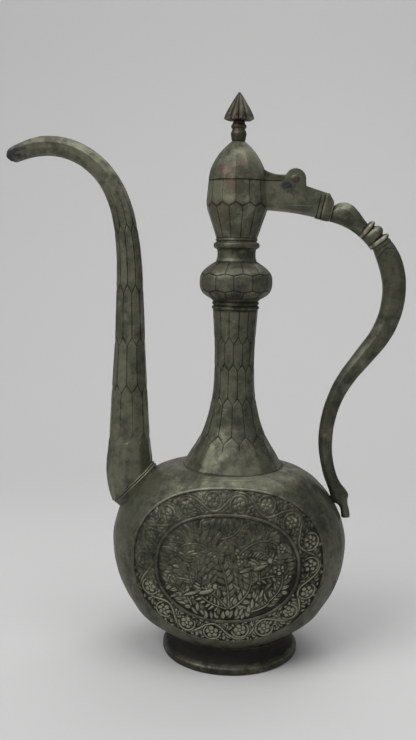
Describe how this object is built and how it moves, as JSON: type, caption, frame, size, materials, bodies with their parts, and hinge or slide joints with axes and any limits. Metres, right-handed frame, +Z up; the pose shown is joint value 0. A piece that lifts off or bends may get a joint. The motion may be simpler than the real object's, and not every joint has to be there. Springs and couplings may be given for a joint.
{
  "type": "metal ewer",
  "caption": "Tall tinned-copper ewer with a flattened body, faceted neck, long curved spout, cast bow handle and a hinged lid, for pouring water at table.",
  "frame": {"origin": "centre of the foot's resting face, on the neck's axis", "axes": "+Z up along the neck, +X towards the handle, -X towards the spout, -Y the front medallion"},
  "size_m": [0.2602, 0.11, 0.37],
  "materials": {
    "foot_metal": "dark grown patina in the waist, lighter worn lip",
    "body_metal": "dull tinned copper, grey-olive patina, chased relief with dark grooves",
    "rim_metal": "tinned wire, rubbed bright on its crest",
    "neck_metal": "dull tinned copper with scratches and dark facet grooves",
    "head_metal": "tinned copper worn to reddish brown on some facets",
    "lid_metal": "tinned copper with brown copper patches",
    "finial_metal": "cast and tinned, dark in the flutes",
    "spout_metal": "tinned copper, brown along the lower edge of the beak",
    "handle_metal": "cast metal, tinned, bright copper lines on rings and collars",
    "pin_copper": "bare copper pin ends, rubbed"
  },
  "bodies": {
    "ewer": {"foot_ring": "foot_metal", "body_shell": "body_metal", "front_outer_rim": "rim_metal", "front_inner_rim": "rim_metal", "back_outer_rim": "rim_metal", "back_inner_rim": "rim_metal", "neck_tube": "neck_metal", "lower_collar": "neck_metal", "neck_bulb": "neck_metal", "upper_collar": "neck_metal", "mouth_cup": "head_metal", "spout_collar": "spout_metal", "spout_tube": "spout_metal", "handle_arm": "handle_metal", "handle_baluster": "handle_metal", "handle_upper_ring": "handle_metal", "handle_knop": "handle_metal", "handle_lower_ring": "handle_metal", "handle_grip": "handle_metal", "hinge_pin": "pin_copper"},
    "lid": {"lid_dome": "lid_metal", "lid_flange": "lid_metal", "lid_tongue": "lid_metal", "finial_stem": "finial_metal", "finial_bud": "finial_metal", "finial_washer": "finial_metal"}
  },
  "joints": [
    {"name": "lid_hinge", "type": "hinge", "parent": "ewer", "child": "lid", "pos_m": [0.0369, 0, 0.3159], "axis": [0, 1, 0], "range_deg": [0, 115]}
  ]
}
